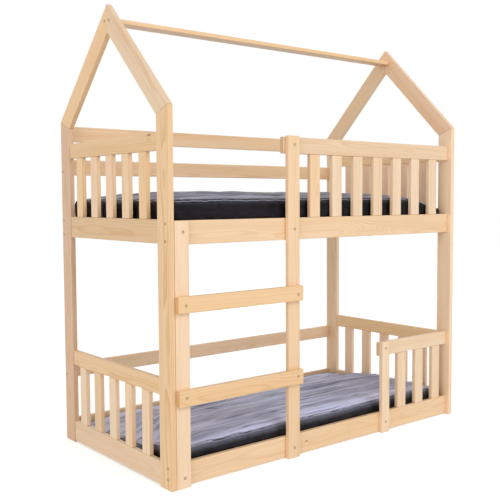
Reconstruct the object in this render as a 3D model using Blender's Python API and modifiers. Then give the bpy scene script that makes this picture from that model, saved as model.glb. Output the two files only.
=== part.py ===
"""A low house-shaped bunk bed in pine: two house-shaped end frames, rails between them, two bunks."""

import math

import bmesh
import bpy
from mathutils import Matrix, Vector

# Overall sizes, in metres. The posts' outer faces give the length and the depth.
bed_length = 1.670
bed_depth = 0.870
roof_pitch = math.radians(45)

# Boards. Every touching pair of pieces keeps fit_gap between its faces.
fit_gap = 0.0003
edge_round = 0.0025
edge_segments = 2
post_width = 0.080
post_thickness = 0.023
board_thickness = 0.020
rail_width = 0.090
guard_width = 0.068
low_guard_width = 0.064
end_slat_width = 0.053
guard_slat_width = 0.057
back_recess = 0.003

# Heights, from the floor up: each rail follows from the one below it.
low_side_rail_height = 0.003
low_end_rail_height = 0.007
bunk_rise = 0.911
end_slat_length = 0.254
front_guard_gap = 0.263
back_guard_gap = 0.188
back_guard_spacing = 0.080
eave_rise = 0.017

# Upright slats: how many, and the shares of the free room that the first gap and each next gap take.
end_slat_count = 5
left_end_first_gap_share = 0.179
right_end_first_gap_share = 0.156
end_gap_share = 0.172
guard_slat_count = 7
guard_first_gap_share = 0.1285
guard_gap_share = 0.1210
low_slat_count = 3
low_first_gap_share = 0.2965
low_gap_share = 0.2570

# Ladder and upper guard, along the bed from the front left post.
stile_width = 0.063
stile_thickness = 0.0197
stile_gap = 0.0015
ladder_clear_width = 0.491
rung_width = 0.062
rung_thickness = 0.022
rung_height_shares = (0.345, 0.7255)
stile_rise_over_guard = 0.004
guard_overhang = 0.010

# Lower front guard, along the bed back from the front right post.
low_stile_width = 0.049
low_guard_length = 0.493

# Ridge batten, laid flat.
batten_width = 0.066
batten_thickness = 0.018
batten_drop = 0.078

# Slat bases and the ledgers that carry them.
base_rise = 0.023
high_base_lift = 0.0335
ledger_thickness = 0.020
ledger_width = 0.0215
base_slat_count = 14
base_slat_width = 0.060
base_slat_thickness = 0.016
base_side_play = 0.002
tape_width = 0.030
tape_thickness = 0.002
tape_sink = 0.001
tape_place_share = 0.24

# Mattresses: a foam block of 160 x 80 cm with a crown and drawn-in sides.
mattress_end_play = 0.0117
mattress_side_play = 0.0035
mattress_edge_height = 0.092
mattress_crown = 0.038
mattress_draw_in = 0.006
mattress_cuts = 5
mattress_smoothing = 1
edge_crowding_share = 2.6

# Places worked out from the sizes above. The origin lies on the floor under the middle of the bed's box.
rung_reach = rung_thickness + fit_gap
left_face = -bed_length / 2
right_face = bed_length / 2
front_face = (rung_reach - bed_depth) / 2
back_face = front_face + bed_depth
ridge_line = front_face + bed_depth / 2
half_gap = fit_gap / 2

inner_left = left_face + post_thickness + fit_gap
inner_right = right_face - post_thickness - fit_gap
front_post_back = front_face + post_width + fit_gap
back_post_front = back_face - post_width - fit_gap
rail_front = front_face + stile_thickness + fit_gap
rail_back = back_face - back_recess

high_side_rail_height = low_side_rail_height + bunk_rise
high_end_rail_height = low_end_rail_height + bunk_rise
low_side_rail_top = low_side_rail_height + rail_width
high_side_rail_top = high_side_rail_height + rail_width
low_end_top_rail_height = low_end_rail_height + rail_width + end_slat_length
high_end_top_rail_height = high_end_rail_height + rail_width + end_slat_length
low_front_guard_height = low_side_rail_top + front_guard_gap
front_guard_height = high_side_rail_top + front_guard_gap
low_back_guard_height = low_side_rail_top + back_guard_gap
back_guard_low_height = high_side_rail_top + back_guard_gap
back_guard_high_height = back_guard_low_height + guard_width + back_guard_spacing
eave_height = back_guard_high_height + guard_width + eave_rise
roof_peak = eave_height + bed_depth / 2 * math.tan(roof_pitch)

front_rail_span = (rail_front, rail_front + board_thickness)
back_rail_span = (rail_back - board_thickness, rail_back)
rail_length_span = (inner_left, inner_right)
end_rail_span = (front_post_back, back_post_front)
left_end_span = (inner_left - fit_gap - board_thickness, inner_left - fit_gap)
right_end_span = (inner_right + fit_gap, inner_right + fit_gap + board_thickness)

left_stile_left = inner_left - fit_gap + stile_gap
left_stile_right = left_stile_left + stile_width
right_stile_left = left_stile_right + ladder_clear_width
right_stile_right = right_stile_left + stile_width
stile_span = (front_face, front_face + stile_thickness)
low_stile_left = inner_right - low_guard_length
low_stile_right = low_stile_left + low_stile_width

mattress_span = (inner_left + mattress_end_play, inner_right - mattress_end_play)
mattress_length = mattress_span[1] - mattress_span[0]
mattress_width = back_rail_span[0] - front_rail_span[1] - 2 * mattress_side_play
low_base_top = low_side_rail_height + base_rise + base_slat_thickness
high_base_top = high_side_rail_height + base_rise + high_base_lift + base_slat_thickness

collection = None
cutters = None


def start_clean():
    """Removes what the file opened with and makes the bed's own collections."""
    global collection, cutters
    for old in list(bpy.data.objects):
        bpy.data.objects.remove(old, do_unlink=True)
    collection = bpy.data.collections.new("house_bunk_bed")
    cutters = bpy.data.collections.new("cutters")
    cutters.hide_render = True
    bpy.context.scene.collection.children.link(collection)
    bpy.context.scene.collection.children.link(cutters)


def surface(name, colour, roughness, metallic=0.0):
    """A plain material with the photographed colour."""
    material = bpy.data.materials.new(name)
    material.use_nodes = True
    shader = material.node_tree.nodes["Principled BSDF"]
    shader.inputs["Base Color"].default_value = (*colour, 1.0)
    shader.inputs["Roughness"].default_value = roughness
    shader.inputs["Metallic"].default_value = metallic
    return material


def pine(name):
    """Clear-lacquered pine; each board has its own copy."""
    return surface(name + "_pine", (0.86, 0.66, 0.42), 0.45)


def place(name, mesh, centre, material):
    """Links a mesh into the bed's collection at its centre."""
    piece = bpy.data.objects.new(name, mesh)
    piece.location = centre
    piece.data.materials.append(material)
    collection.objects.link(piece)
    return piece


def round_edges(piece):
    """Sanded edges: a small bevel on every sharp edge."""
    bevel = piece.modifiers.new("sanded_edges", "BEVEL")
    bevel.width = edge_round
    bevel.segments = edge_segments
    bevel.limit_method = "ANGLE"


def block_mesh(name, size):
    """A box of the given size, centred on its own origin."""
    shape = bmesh.new()
    bmesh.ops.create_cube(shape, size=1.0)
    bmesh.ops.scale(shape, vec=size, verts=shape.verts)
    mesh = bpy.data.meshes.new(name)
    shape.to_mesh(mesh)
    shape.free()
    return mesh


def board(name, along_x, along_y, along_z):
    """A straight board that fills three spans, each a low and a high value."""
    spans = (along_x, along_y, along_z)
    size = [high - low for low, high in spans]
    centre = [(low + high) / 2 for low, high in spans]
    piece = place(name, block_mesh(name, size), centre, pine(name))
    round_edges(piece)
    return piece


def saw(mesh, placement, point, normal):
    """Cuts the mesh with a plane given in the bed's frame, and drops what the normal points at."""
    to_local = placement.inverted()
    shape = bmesh.new()
    shape.from_mesh(mesh)
    everything = shape.verts[:] + shape.edges[:] + shape.faces[:]
    cut = bmesh.ops.bisect_plane(
        shape,
        geom=everything,
        plane_co=to_local @ Vector(point),
        plane_no=to_local.to_3x3() @ Vector(normal),
        clear_outer=True,
    )
    rim = [part for part in cut["geom_cut"] if isinstance(part, bmesh.types.BMEdge)]
    bmesh.ops.contextual_create(shape, geom=rim)
    bmesh.ops.recalc_face_normals(shape, faces=shape.faces)
    shape.to_mesh(mesh)
    shape.free()


def mitre_plane(side):
    """A point and a normal of the eave's mitre, which halves the angle between post and rafter.

    side is 1 at the front and -1 at the back. The normal points up and inwards.
    """
    half_angle = roof_pitch / 2
    corner = front_face if side > 0 else back_face
    normal = Vector((0, side * math.sin(half_angle), math.cos(half_angle)))
    return Vector((0, corner, eave_height)), normal


def post(name, outer_face, inward, side):
    """A post: a board on end, its broad side to the bed's end, sawn to the mitre at the top."""
    corner = front_face if side > 0 else back_face
    centre = Vector((outer_face + inward * post_thickness / 2, corner + side * post_width / 2, eave_height / 2))
    mesh = block_mesh(name, (post_thickness, post_width, eave_height))
    point, normal = mitre_plane(side)
    saw(mesh, Matrix.Translation(centre), point - normal * half_gap, normal)
    round_edges(place(name, mesh, centre, pine(name)))


def rafter(name, outer_face, inward, side):
    """A rafter of the post's board, sawn to the mitre at the eave and upright at the peak."""
    corner = front_face if side > 0 else back_face
    run = bed_depth / 2
    slope_length = run / math.cos(roof_pitch)
    uphill = Vector((0, side * math.cos(roof_pitch), math.sin(roof_pitch)))
    square = Vector((0, -side * math.sin(roof_pitch), math.cos(roof_pitch)))
    middle = Vector((outer_face + inward * post_thickness / 2, corner, eave_height))
    middle += uphill * slope_length / 2 - square * post_width / 2
    placement = Matrix.Translation(middle) @ Matrix.Rotation(side * roof_pitch, 4, "X")
    mesh = block_mesh(name, (post_thickness, slope_length + 2 * post_width, post_width))
    point, normal = mitre_plane(side)
    saw(mesh, placement, point + normal * half_gap, -normal)
    saw(mesh, placement, Vector((0, ridge_line - side * half_gap, roof_peak)), Vector((0, side, 0)))
    piece = place(name, mesh, middle, pine(name))
    piece.rotation_euler = (side * roof_pitch, 0, 0)
    round_edges(piece)


def house_frames():
    """Posts and rafters of both ends."""
    for end, outer_face, inward in (("left", left_face, 1), ("right", right_face, -1)):
        for place_name, side in (("front", 1), ("back", -1)):
            post(f"{place_name}_{end}_post", outer_face, inward, side)
            rafter(f"{place_name}_{end}_rafter", outer_face, inward, side)


def ridge_batten():
    """The flat batten between the two peaks."""
    top = roof_peak - batten_drop + batten_thickness
    span = (ridge_line - batten_width / 2, ridge_line + batten_width / 2)
    board("ridge_batten", rail_length_span, span, (top - batten_thickness, top))


def slat_row(start, end, width, count, first_share, gap_share):
    """Spans of upright slats: the room that the slats leave free is shared out over the gaps."""
    free = end - start - count * width
    first = start + first_share * free
    pitch = width + gap_share * free
    return [(first + index * pitch, first + index * pitch + width) for index in range(count)]


def end_slat_spans(first_gap_share):
    """Where the upright slats of an end stand between the posts."""
    return slat_row(*end_rail_span, end_slat_width, end_slat_count, first_gap_share, end_gap_share)


def left_end():
    """Rails and single slats of the left end, upper and lower bunk."""
    bunks = (
        ("lower", low_end_rail_height, low_end_top_rail_height),
        ("upper", high_end_rail_height, high_end_top_rail_height),
    )
    for bunk, bottom, top in bunks:
        board(f"{bunk}_left_end_rail", left_end_span, end_rail_span, (bottom, bottom + rail_width))
        board(f"{bunk}_left_end_top_rail", left_end_span, end_rail_span, (top, top + low_guard_width))
        slat_height = (bottom + rail_width + fit_gap, top - fit_gap)
        for number, span in enumerate(end_slat_spans(left_end_first_gap_share), 1):
            board(f"{bunk}_left_end_slat_{number}", left_end_span, span, slat_height)


def slatted_end_rail(name, bottom, slat_top):
    """The right end's bottom rail with its slats: one outline, as thick as a board."""
    rail_top = bottom + rail_width
    outline = [(end_rail_span[0], bottom), (end_rail_span[1], bottom), (end_rail_span[1], rail_top)]
    for low, high in reversed(end_slat_spans(right_end_first_gap_share)):
        outline += [(high, rail_top), (high, slat_top), (low, slat_top), (low, rail_top)]
    outline.append((end_rail_span[0], rail_top))
    curve = bpy.data.curves.new(name, "CURVE")
    curve.dimensions = "2D"
    curve.fill_mode = "BOTH"
    curve.extrude = board_thickness / 2
    line = curve.splines.new("POLY")
    line.points.add(len(outline) - 1)
    line.use_cyclic_u = True
    centre_y = sum(end_rail_span) / 2
    for point, (across, height) in zip(line.points, outline):
        point.co = (across - centre_y, height - bottom, 0, 1)
    piece = place(name, curve, (sum(right_end_span) / 2, centre_y, bottom), pine(name))
    piece.rotation_euler = (math.pi / 2, 0, math.pi / 2)
    weld = piece.modifiers.new("closed_caps", "WELD")
    weld.merge_threshold = fit_gap / 10
    round_edges(piece)


def right_end():
    """The right end: the same rails, with each bottom rail and its five slats in one piece."""
    bunks = (
        ("lower", low_end_rail_height, low_end_top_rail_height),
        ("upper", high_end_rail_height, high_end_top_rail_height),
    )
    for bunk, bottom, top in bunks:
        slatted_end_rail(f"{bunk}_right_end_rail_with_slats", bottom, top - fit_gap)
        board(f"{bunk}_right_end_top_rail", right_end_span, end_rail_span, (top, top + low_guard_width))


def side_rails():
    """Front and back side rails of both bunks, between the posts."""
    for bunk, bottom in (("lower", low_side_rail_height), ("upper", high_side_rail_height)):
        height = (bottom, bottom + rail_width)
        board(f"{bunk}_front_side_rail", rail_length_span, front_rail_span, height)
        board(f"{bunk}_back_side_rail", rail_length_span, back_rail_span, height)


def back_guards():
    """The plain guard rails along the back."""
    guards = (
        ("lower_back_guard_rail", low_back_guard_height, low_guard_width),
        ("upper_back_guard_rail_low", back_guard_low_height, guard_width),
        ("upper_back_guard_rail_high", back_guard_high_height, guard_width),
    )
    for name, bottom, width in guards:
        board(name, rail_length_span, back_rail_span, (bottom, bottom + width))


def upper_front_guard():
    """The upper front guard: a rail from behind the ladder to the right post, and seven slats."""
    span = (right_stile_left - guard_overhang, inner_right)
    height = (front_guard_height, front_guard_height + guard_width)
    board("upper_front_guard_rail", span, front_rail_span, height)
    slat_height = (high_side_rail_top + fit_gap, front_guard_height - fit_gap)
    shares = (guard_first_gap_share, guard_gap_share)
    row = slat_row(right_stile_right, inner_right, guard_slat_width, guard_slat_count, *shares)
    for number, along in enumerate(row, 1):
        board(f"upper_guard_slat_{number}", along, front_rail_span, slat_height)


def lower_front_guard():
    """The lower front guard: a short stile in front, a rail behind it and three slats."""
    top = low_front_guard_height + low_guard_width
    stile_top = top + stile_rise_over_guard
    rail_height = (low_front_guard_height, top)
    board("lower_guard_stile", (low_stile_left, low_stile_right), stile_span, (0, stile_top))
    board("lower_front_guard_rail", (low_stile_left, inner_right), front_rail_span, rail_height)
    slat_height = (low_side_rail_top + fit_gap, low_front_guard_height - fit_gap)
    shares = (low_first_gap_share, low_gap_share)
    row = slat_row(low_stile_right, inner_right, guard_slat_width, low_slat_count, *shares)
    for number, along in enumerate(row, 1):
        board(f"lower_guard_slat_{number}", along, front_rail_span, slat_height)


def ladder():
    """Two stiles level with the posts' fronts, and two rungs screwed on the front of them."""
    right_top = front_guard_height + guard_width + stile_rise_over_guard
    board("left_ladder_stile", (left_stile_left, left_stile_right), stile_span, (0, high_side_rail_top))
    board("right_ladder_stile", (right_stile_left, right_stile_right), stile_span, (0, right_top))
    front = (front_face - rung_reach, front_face - fit_gap)
    for name, share in zip(("low_rung", "high_rung"), rung_height_shares):
        bottom = share * high_side_rail_height
        board(name, (left_stile_left, right_stile_right), front, (bottom, bottom + rung_width))


def ledgers():
    """The strips inside the side rails that the slat bases lie on."""
    front = (front_rail_span[1] + fit_gap, front_rail_span[1] + fit_gap + ledger_thickness)
    back = (back_rail_span[0] - fit_gap - ledger_thickness, back_rail_span[0] - fit_gap)
    for bunk, base_top in (("lower", low_base_top), ("upper", high_base_top)):
        top = base_top - base_slat_thickness - fit_gap
        board(f"{bunk}_front_ledger", mattress_span, front, (top - ledger_width, top))
        board(f"{bunk}_back_ledger", mattress_span, back, (top - ledger_width, top))


def tapes(name, centre, size_y):
    """The two tapes under a slat base, joined to its slats as a helper of the base."""
    shape = bmesh.new()
    for side in (-1, 1):
        made = bmesh.ops.create_cube(shape, size=1.0)
        bmesh.ops.scale(shape, vec=(mattress_length, tape_width, tape_thickness), verts=made["verts"])
        shift = (0, side * tape_place_share * size_y, tape_sink - tape_thickness / 2 - base_slat_thickness / 2)
        bmesh.ops.translate(shape, vec=shift, verts=made["verts"])
    mesh = bpy.data.meshes.new(name)
    shape.to_mesh(mesh)
    shape.free()
    helper = bpy.data.objects.new(name, mesh)
    helper.location = centre
    helper.display_type = "WIRE"
    helper.hide_render = True
    cutters.objects.link(helper)
    return helper


def slat_base(bunk, base_top):
    """A roll-out slat base: slats across the bed, held at their spacing by two tapes."""
    low_y = front_rail_span[1] + base_side_play
    high_y = back_rail_span[0] - base_side_play
    depth = high_y - low_y
    pitch = (mattress_length - base_slat_width) / (base_slat_count - 1)
    shape = bmesh.new()
    for index in range(base_slat_count):
        made = bmesh.ops.create_cube(shape, size=1.0)
        bmesh.ops.scale(shape, vec=(base_slat_width, depth, base_slat_thickness), verts=made["verts"])
        shift = (index * pitch - (mattress_length - base_slat_width) / 2, 0, 0)
        bmesh.ops.translate(shape, vec=shift, verts=made["verts"])
    name = f"{bunk}_slat_base"
    mesh = bpy.data.meshes.new(name)
    shape.to_mesh(mesh)
    shape.free()
    centre = Vector((0, (low_y + high_y) / 2, base_top - base_slat_thickness / 2))
    piece = place(name, mesh, centre, surface(name + "_wood", (0.80, 0.64, 0.44), 0.6))
    join = piece.modifiers.new("tapes", "BOOLEAN")
    join.operation = "UNION"
    join.solver = "EXACT"
    join.object = tapes(f"{bunk}_tapes", centre, depth)


def crowd(share):
    """Moves a cage line towards the edge: 1 - (1 - s) to a power, with the sign kept."""
    return math.copysign(1 - (1 - abs(share)) ** edge_crowding_share, share)


def mattress(bunk, base_top):
    """A foam mattress: a cage box, crowned on top, its sides drawn in between the corners."""
    name = f"{bunk}_mattress"
    half_length = mattress_length / 2
    half_width = mattress_width / 2
    half_height = mattress_edge_height / 2
    shape = bmesh.new()
    bmesh.ops.create_cube(shape, size=2.0)
    bmesh.ops.subdivide_edges(shape, edges=shape.edges[:], cuts=mattress_cuts, use_grid_fill=True)
    for vertex in shape.verts:
        along, across, up = crowd(vertex.co.x), crowd(vertex.co.y), vertex.co.z
        swell = (1 - along**4) * (1 - across**4)
        waist = 1 - up**2
        vertex.co.x = along * (half_length - mattress_draw_in * (1 - across**2 + waist) / 2)
        vertex.co.y = across * (half_width - mattress_draw_in * (1 - along**2 + waist) / 2)
        lift = mattress_crown * swell * max(up, 0) ** 2
        vertex.co.z = up * half_height + lift
    mesh = bpy.data.meshes.new(name)
    shape.to_mesh(mesh)
    shape.free()
    middle_y = (front_rail_span[1] + back_rail_span[0]) / 2
    centre = Vector((0, middle_y, base_top + fit_gap + half_height))
    piece = place(name, mesh, centre, surface(name + "_cover", (0.045, 0.05, 0.06), 0.55))
    smooth = piece.modifiers.new("soft_form", "SUBSURF")
    smooth.levels = mattress_smoothing
    smooth.render_levels = mattress_smoothing


def main():
    start_clean()
    house_frames()
    ridge_batten()
    left_end()
    right_end()
    side_rails()
    back_guards()
    upper_front_guard()
    lower_front_guard()
    ladder()
    ledgers()
    for bunk, base_top in (("lower", low_base_top), ("upper", high_base_top)):
        slat_base(bunk, base_top)
        mattress(bunk, base_top)


main()
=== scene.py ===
"""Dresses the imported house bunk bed: pine boards, mattress covers, screws, studio light and the camera."""

import math

import bpy
import numpy as np
from mathutils import Matrix, Vector


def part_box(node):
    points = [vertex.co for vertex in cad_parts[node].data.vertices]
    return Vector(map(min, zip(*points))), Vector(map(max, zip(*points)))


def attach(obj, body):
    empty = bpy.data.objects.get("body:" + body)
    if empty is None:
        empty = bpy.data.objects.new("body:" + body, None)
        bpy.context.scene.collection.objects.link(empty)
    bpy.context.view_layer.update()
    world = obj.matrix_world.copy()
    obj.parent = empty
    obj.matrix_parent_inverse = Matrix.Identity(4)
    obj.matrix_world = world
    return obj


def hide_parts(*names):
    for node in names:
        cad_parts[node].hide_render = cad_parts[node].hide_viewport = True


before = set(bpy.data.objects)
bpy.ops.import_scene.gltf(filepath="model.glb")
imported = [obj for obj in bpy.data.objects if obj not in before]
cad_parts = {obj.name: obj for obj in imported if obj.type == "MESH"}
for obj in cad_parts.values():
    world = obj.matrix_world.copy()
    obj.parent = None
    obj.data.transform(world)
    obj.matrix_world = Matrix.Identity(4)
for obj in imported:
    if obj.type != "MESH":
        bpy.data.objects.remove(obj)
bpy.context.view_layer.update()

scene = bpy.context.scene
for startup_name in ("Cube", "Light", "Camera"):
    startup = bpy.data.objects.get(startup_name)
    if startup is not None:
        bpy.data.objects.remove(startup, do_unlink=True)

# Helpers for nodes and pieces.


def feed(tree, node, values):
    """Feeds a node's sockets, each by its name or number, with an output to link or with a constant."""
    for key, value in values.items():
        if isinstance(value, bpy.types.NodeSocket):
            tree.links.new(value, node.inputs[key])
        else:
            node.inputs[key].default_value = value


def add_node(tree, kind, values=None, **settings):
    """A new node with its settings, and with values fed to its sockets."""
    made = tree.nodes.new(kind)
    for name, value in settings.items():
        setattr(made, name, value)
    feed(tree, made, values or {})
    return made


def calc(tree, operation, *values):
    """One Math node; its result."""
    return add_node(tree, "ShaderNodeMath", dict(enumerate(values)), operation=operation).outputs[0]


def vector_calc(tree, operation, *values):
    """One Vector Math node; its result, which is a number for a length and for a dot product."""
    made = add_node(tree, "ShaderNodeVectorMath", dict(enumerate(values)), operation=operation)
    return made.outputs["Value" if operation in ("LENGTH", "DOT_PRODUCT") else "Vector"]


def blend_colours(tree, share, first, second, blend_type="MIX"):
    """Mixes two colours by a share; the mixed colour."""
    values = {0: share, 6: first, 7: second}
    return add_node(tree, "ShaderNodeMix", values, data_type="RGBA", blend_type=blend_type).outputs[2]


def blend_vectors(tree, share, first, second):
    """Mixes two vectors by a share; the mixed vector."""
    return add_node(tree, "ShaderNodeMix", {0: share, 4: first, 5: second}, data_type="VECTOR").outputs[1]


def rising(tree, value, low, high):
    """0 below low, 1 above high, eased between them."""
    values = {"Value": value, "From Min": low, "From Max": high}
    return add_node(tree, "ShaderNodeMapRange", values, interpolation_type="SMOOTHSTEP").outputs["Result"]


def falling(tree, value, low, high):
    """1 below low, 0 above high, eased between them."""
    return calc(tree, "SUBTRACT", 1.0, rising(tree, value, low, high))


def apart(tree, value, middle):
    """How far a value lies from a middle, on either side of it."""
    return calc(tree, "ABSOLUTE", calc(tree, "SUBTRACT", value, middle))


def noise(tree, vector, scale, seed, detail=2.0, roughness=0.5):
    """The outputs of a four-dimensional noise: its value, around 0.5, and a colour of three such values."""
    values = {"Vector": vector, "W": seed, "Scale": scale, "Detail": detail, "Roughness": roughness}
    return add_node(tree, "ShaderNodeTexNoise", values, noise_dimensions="4D").outputs


def stretched_noise(tree, vector, stretch, seed, detail=2.0, roughness=0.6):
    """A noise's value; stretch says how many of its features fit in a metre along each axis."""
    stretched = vector_calc(tree, "MULTIPLY", vector, stretch)
    return noise(tree, stretched, 1.0, seed, detail, roughness)[0]


def bed_place(tree):
    """A place in the bed's own frame."""
    return add_node(tree, "ShaderNodeTexCoord").outputs["Object"]


def axes_of(tree, vector):
    """The X, Y and Z of a vector."""
    return add_node(tree, "ShaderNodeSeparateXYZ", {0: vector}).outputs


def own_place(tree, origin, turn):
    """A place in a piece's own frame, whose origin and turn are given in the bed's."""
    values = {"Vector": bed_place(tree), "Location": origin, "Rotation": turn.to_euler()}
    return add_node(tree, "ShaderNodeMapping", values, vector_type="TEXTURE").outputs["Vector"]


def emboss(tree, shader, relief, strength, height):
    """Raises a shader's surface by a relief; height is its full rise in metres."""
    bump = add_node(tree, "ShaderNodeBump", {"Strength": strength, "Distance": height, "Height": relief})
    feed(tree, shader, {"Normal": bump.outputs[0]})


def material_tree(name):
    """A new node material, its tree and its Principled shader."""
    material = bpy.data.materials.new(name)
    material.use_nodes = True
    return material, material.node_tree, material.node_tree.nodes["Principled BSDF"]


def set_material(piece, material):
    """Puts one material in the piece's slots."""
    piece.data.materials.clear()
    piece.data.materials.append(material)


def mesh_of(name, points, quads, more_faces=()):
    """A mesh from whole arrays of points and quads, and from lists of corners for any other faces."""
    mesh = bpy.data.meshes.new(name)
    mesh.from_pydata(points.tolist(), [], quads.tolist() + list(more_faces))
    mesh.update()
    return mesh


def new_piece(name, data):
    """A new object in the scene, at the origin, unturned and unscaled."""
    piece = bpy.data.objects.new(name, data)
    scene.collection.objects.link(piece)
    return piece


def ring_quads(rings, sides, closed):
    """Quads between neighbouring rings of points; a closed row of rings joins its last one to its first."""
    ring, step = np.meshgrid(np.arange(rings if closed else rings - 1), np.arange(sides), indexing="ij")
    after, beside = (ring + 1) % rings, (step + 1) % sides
    corners = [ring * sides + step, after * sides + step, after * sides + beside, ring * sides + beside]
    return np.stack(corners, axis=-1).reshape(-1, 4)


# Pine: its colours, and the tones that shade them.
EARLY_WOOD = (0.880, 0.632, 0.400, 1.0)
LATE_WOOD = (0.700, 0.420, 0.190, 1.0)
KNOT_WOOD = (0.260, 0.130, 0.055, 1.0)
WARM_STREAK = (0.93, 0.84, 0.72, 1.0)
DARK_FIBRE = (0.86, 0.76, 0.62, 1.0)
END_GRAIN = (0.82, 0.70, 0.56, 1.0)
WEBBING = (0.72, 0.69, 0.62, 1.0)

# The figure in a board's own frame. Stretches count features to a metre, spacing and reach are in metres,
# what darkens and ends is a share of a ring, and what belongs to a knot is a share of the knot's size.
FIGURE_NUMBERS = ("Seed", "Pith Across", "Pith Deep", "Lean", "Knot Size")
EULER = 2.718
WOBBLE_STRETCH = (9.0, 9.0, 1.5)
WOBBLE_REACH = (0.05, 0.05, 0.0)
RING_SPACING = 0.0052
RING_DARKENS = (0.25, 0.86)
RING_ENDS = (0.90, 1.0)
RING_SHARPNESS = 1.6
YEAR_RANGE_AND_LEAST = (0.75, 0.25)
KNOT_STRETCH = (1.0, 0.25, 0.45)
KNOT_BELL = -0.35
KNOT_PUSH = 1.6
KNOT_RIM = (0.25, 0.62)
STREAK_STRETCH = (26.0, 26.0, 1.3)
STREAK_SEED = 3.1
FIBRE_STRETCH = (420.0, 420.0, 9.0)
FIBRE_SEED = 7.7

# Between which values the streaks, fibres and end grain show, and how strongly they and the knots do.
STREAK_SHOWS = (0.42, 0.68)
STREAK_STRENGTH = 0.55
FIBRE_SHOWS = (0.50, 0.72)
FIBRE_STRENGTH = 0.22
KNOT_STRENGTH = 0.85
END_GRAIN_SHOWS = (0.80, 0.97)
END_GRAIN_STRENGTH = 0.75
FIBRE_AND_PLAIN_ROUGHNESS = (0.16, 0.34)
FIBRE_RELIEF = 0.5
PINE_RELIEF = (0.25, 0.0004)
LACQUER = 0.10


def pine_figure_group():
    """The figure of sawn pine in a board's own frame: Z along the grain, X across the face, Y through it.

    The growth rings are cylinders round a pith line that lies beside the board and leans a little, so a flat
    face cuts them in long arches. A knot pushes the rings round itself, by a bell of the distance from it.
    """
    group = bpy.data.node_groups.new("pine_figure", "ShaderNodeTree")
    face = group.interface
    face.new_socket("Board", in_out="INPUT", socket_type="NodeSocketVector")
    for name in FIGURE_NUMBERS:
        face.new_socket(name, in_out="INPUT", socket_type="NodeSocketFloat")
    face.new_socket("Knot Place", in_out="INPUT", socket_type="NodeSocketVector")
    for name in ("Late Wood", "Streak", "Fibre", "Knot"):
        face.new_socket(name, in_out="OUTPUT", socket_type="NodeSocketFloat")
    given = add_node(group, "NodeGroupInput").outputs
    board, seed, knot_size = given["Board"], given["Seed"], given["Knot Size"]

    slow = vector_calc(group, "MULTIPLY", board, WOBBLE_STRETCH)
    wobble = vector_calc(group, "SUBTRACT", noise(group, slow, 1.0, seed)["Color"], (0.5, 0.5, 0.5))
    bent = vector_calc(group, "ADD", board, vector_calc(group, "MULTIPLY", wobble, WOBBLE_REACH))
    bent_x, bent_y, bent_z = axes_of(group, bent)

    from_knot = vector_calc(group, "SUBTRACT", board, given["Knot Place"])
    knot_distance = vector_calc(group, "LENGTH", vector_calc(group, "MULTIPLY", from_knot, KNOT_STRETCH))
    knot_share = calc(group, "DIVIDE", knot_distance, knot_size)
    bell = calc(group, "MULTIPLY", calc(group, "POWER", knot_share, 2.0), KNOT_BELL)
    bell = calc(group, "POWER", EULER, bell)
    push = calc(group, "MULTIPLY", bell, calc(group, "MULTIPLY", knot_size, KNOT_PUSH))

    leaning = calc(group, "MULTIPLY", bent_z, given["Lean"])
    across = calc(group, "SUBTRACT", calc(group, "SUBTRACT", bent_x, given["Pith Across"]), leaning)
    deep = calc(group, "SUBTRACT", bent_y, given["Pith Deep"])
    squares = calc(group, "ADD", calc(group, "POWER", across, 2.0), calc(group, "POWER", deep, 2.0))
    radius = calc(group, "ADD", calc(group, "SQRT", squares), push)
    years = calc(group, "MULTIPLY", radius, 1 / RING_SPACING)
    ring = calc(group, "FRACT", years)
    rise = calc(group, "POWER", rising(group, ring, *RING_DARKENS), RING_SHARPNESS)
    late = calc(group, "MULTIPLY", rise, falling(group, ring, *RING_ENDS))
    year = add_node(group, "ShaderNodeCombineXYZ", {0: calc(group, "FLOOR", years), 1: seed}).outputs[0]
    drawn = add_node(group, "ShaderNodeTexWhiteNoise", {"Vector": year}, noise_dimensions="2D")
    weight = calc(group, "MULTIPLY_ADD", drawn.outputs["Value"], *YEAR_RANGE_AND_LEAST)

    streak_seed = calc(group, "ADD", seed, STREAK_SEED)
    fibre_seed = calc(group, "ADD", seed, FIBRE_SEED)
    add_node(group, "NodeGroupOutput", {
        "Late Wood": calc(group, "MULTIPLY", late, weight),
        "Streak": stretched_noise(group, bent, STREAK_STRETCH, streak_seed, 3.0, 0.55),
        "Fibre": stretched_noise(group, bent, FIBRE_STRETCH, fibre_seed),
        "Knot": falling(group, knot_share, *KNOT_RIM),
    })
    return group


pine_figure = pine_figure_group()

# How a board lies in the bed: the turn from its own frame (grain Z, face X, thickness Y) to the bed's.
LENGTHWISE = Matrix.Rotation(math.pi / 2, 4, "Y")
UPRIGHT_FACING_FRONT = Matrix.Identity(4)
UPRIGHT_FACING_SIDE = Matrix.Rotation(math.pi / 2, 4, "Z")
ACROSS = Matrix.Rotation(-math.pi / 2, 4, "X") @ Matrix.Rotation(math.pi / 2, 4, "Z")
FLAT_LENGTHWISE = Matrix(((0, 0, 1, 0), (1, 0, 0, 0), (0, 1, 0, 0), (0, 0, 0, 1)))
FLAT_ACROSS = Matrix.Rotation(-math.pi / 2, 4, "X")


def board_turn(name, size):
    """The turn of a board, read from its name and its longest side."""
    if name.endswith("rafter"):
        side = 1 if name.startswith("front") else -1
        return Matrix.Rotation(side * math.pi / 4, 4, "X") @ ACROSS
    if name == "ridge_batten":
        return FLAT_LENGTHWISE
    if size.z > max(size.x, size.y):
        return UPRIGHT_FACING_FRONT if size.x > size.y else UPRIGHT_FACING_SIDE
    return LENGTHWISE if size.x > size.y else ACROSS


def tinted(wood, tint):
    """A wood's colour times a tint, channel by channel."""
    return [channel * share for channel, share in zip(wood, tint)] + [1.0]


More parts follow.
